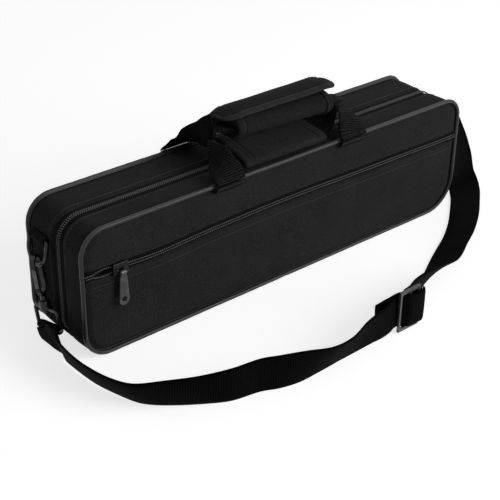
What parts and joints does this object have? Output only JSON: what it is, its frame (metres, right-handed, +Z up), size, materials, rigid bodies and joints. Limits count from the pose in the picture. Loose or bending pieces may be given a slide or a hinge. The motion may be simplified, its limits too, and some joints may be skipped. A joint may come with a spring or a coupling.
{
  "type": "flute case",
  "caption": "Zipped soft-shell flute case with outside pocket, two carrying handles, shoulder strap on snap hooks, and a fitted tray for the three joints.",
  "frame": {"origin": "on the flat underside, midway between the two ends and between the front and back panels", "axes": "+X along the length to the end on the right of a viewer who faces the outside pocket, +Y to the back panel, +Z up to the handles"},
  "size_m": [0.5824, 0.2823, 0.1625],
  "materials": {
    "fabric_shell": "fine plain weave, dull",
    "piping": "glossy vinyl bead",
    "webbing": "close ribbed webbing, slight sheen",
    "zip_tape": "knitted tape, dull",
    "zip_coil": "fine coil",
    "dark_metal": "black, satin",
    "adjuster": "moulded, half gloss",
    "lining": "short pile"
  },
  "bodies": {
    "case_back": {"back_panel": "fabric_shell", "back_gusset": "fabric_shell", "back_piping": "piping", "back_zip_tape": "zip_tape", "back_zip_teeth": "zip_coil", "foam_tray": "lining", "tab_left": "webbing", "tab_right": "webbing", "back_anchor_left": "webbing", "back_anchor_right": "webbing", "strap_long": "webbing", "strap_short": "webbing", "strap_tail": "webbing", "tri_glide": "adjuster"},
    "lid": {"front_panel_upper": "fabric_shell", "pocket_panel": "fabric_shell", "pocket_back": "fabric_shell", "front_gusset": "fabric_shell", "front_piping": "piping", "front_zip_tape": "zip_tape", "front_zip_teeth": "zip_coil", "lid_foam_pad": "lining", "pocket_zip_tape_upper": "zip_tape", "pocket_zip_tape_lower": "zip_tape", "pocket_zip_teeth_upper": "zip_coil", "pocket_zip_teeth_lower": "zip_coil", "front_anchor_left": "webbing", "front_anchor_right": "webbing"},
    "front_handle": {"front_handle_webbing": "webbing", "front_grip_pad": "fabric_shell"},
    "back_handle": {"back_handle_webbing": "webbing", "wrap_roll": "fabric_shell", "loop_patch": "lining"},
    "flap": {"wrap_flap": "fabric_shell", "hook_patch": "lining"},
    "pocket_slider_body": {"pocket_slider": "dark_metal"},
    "pocket_pull_body": {"pocket_pull": "dark_metal"},
    "main_slider_body": {"main_slider": "dark_metal"},
    "main_pull_body": {"main_pull": "dark_metal"},
    "left_ring": {"d_ring_left": "dark_metal", "hook_left": "dark_metal"},
    "right_ring": {"d_ring_right": "dark_metal", "hook_right": "dark_metal"},
    "left_loop": {"swivel_loop_left": "dark_metal", "strap_loop_left": "webbing"},
    "right_loop": {"swivel_loop_right": "dark_metal", "strap_loop_right": "webbing"},
    "left_gate": {"gate_left": "dark_metal"},
    "right_gate": {"gate_right": "dark_metal"}
  },
  "joints": [
    {"name": "lid_hinge", "type": "hinge", "parent": "case_back", "child": "lid", "pos_m": [0, -0.004, 0], "axis": [1, 0, 0], "range_deg": [0, 175], "deforming": ["strap_short"]},
    {"name": "back_handle_swing", "type": "hinge", "parent": "case_back", "child": "back_handle", "pos_m": [0, 0.041, 0.1146], "axis": [1, 0, 0], "range_deg": [-115, 0]},
    {"name": "front_handle_swing", "type": "hinge", "parent": "lid", "child": "front_handle", "pos_m": [0, -0.041, 0.1146], "axis": [1, 0, 0], "range_deg": [0, 115]},
    {"name": "flap_hinge", "type": "hinge", "parent": "back_handle", "child": "flap", "pos_m": [0.00404, 0.0099, 0.14031], "axis": [-0.9986, 0, 0.0523], "range_deg": [0, 120]},
    {"name": "pocket_slider_slide", "type": "slide", "parent": "lid", "child": "pocket_slider_body", "axis": [1, 0, 0], "range_m": [0, 0.36]},
    {"name": "pocket_pull_swing", "type": "hinge", "parent": "pocket_slider_body", "child": "pocket_pull_body", "pos_m": [-0.177, -0.0438, 0.0735], "axis": [-1, 0, 0], "range_deg": [0, 110]},
    {"name": "main_slider_slide", "type": "slide", "parent": "case_back", "child": "main_slider_body", "axis": [0, 0, 1], "range_m": [0, 0.046]},
    {"name": "main_pull_swing", "type": "hinge", "parent": "main_slider_body", "child": "main_pull_body", "pos_m": [0.2143, -0.004, 0.0395], "axis": [0, -1, 0], "range_deg": [0, 110]},
    {"name": "left_ring_swing", "type": "hinge", "parent": "case_back", "child": "left_ring", "pos_m": [-0.21265, 0.0178, 0.0895], "axis": [0, 1, 0], "range_deg": [0, 35], "deforming": ["strap_long"]},
    {"name": "right_ring_swing", "type": "hinge", "parent": "case_back", "child": "right_ring", "pos_m": [0.21265, 0.0178, 0.0895], "axis": [0, -1, 0], "range_deg": [0, 35]},
    {"name": "left_loop_spin", "type": "hinge", "parent": "left_ring", "child": "left_loop", "pos_m": [-0.21647, 0.00867, 0.03301], "axis": [0, 0.2538, 0.9673], "range_deg": [-12, 12]},
    {"name": "right_loop_spin", "type": "hinge", "parent": "right_ring", "child": "right_loop", "pos_m": [0.21647, 0.02694, 0.03301], "axis": [0, -0.2538, 0.9673], "range_deg": [-12, 12]},
    {"name": "left_gate_swing", "type": "hinge", "parent": "left_ring", "child": "left_gate", "pos_m": [-0.2216, 0.00932, 0.05248], "axis": [-0.6428, 0.741, -0.1944], "range_deg": [0, 25], "stiffness_Nm_per_rad": 0.02},
    {"name": "right_gate_swing", "type": "hinge", "parent": "right_ring", "child": "right_gate", "pos_m": [0.2216, 0.02628, 0.05248], "axis": [0.6428, -0.741, -0.1944], "range_deg": [0, 25], "stiffness_Nm_per_rad": 0.02}
  ],
  "couplings": [
    {"joint": "front_handle_swing", "follows": "back_handle_swing", "ratio": -1}
  ]
}
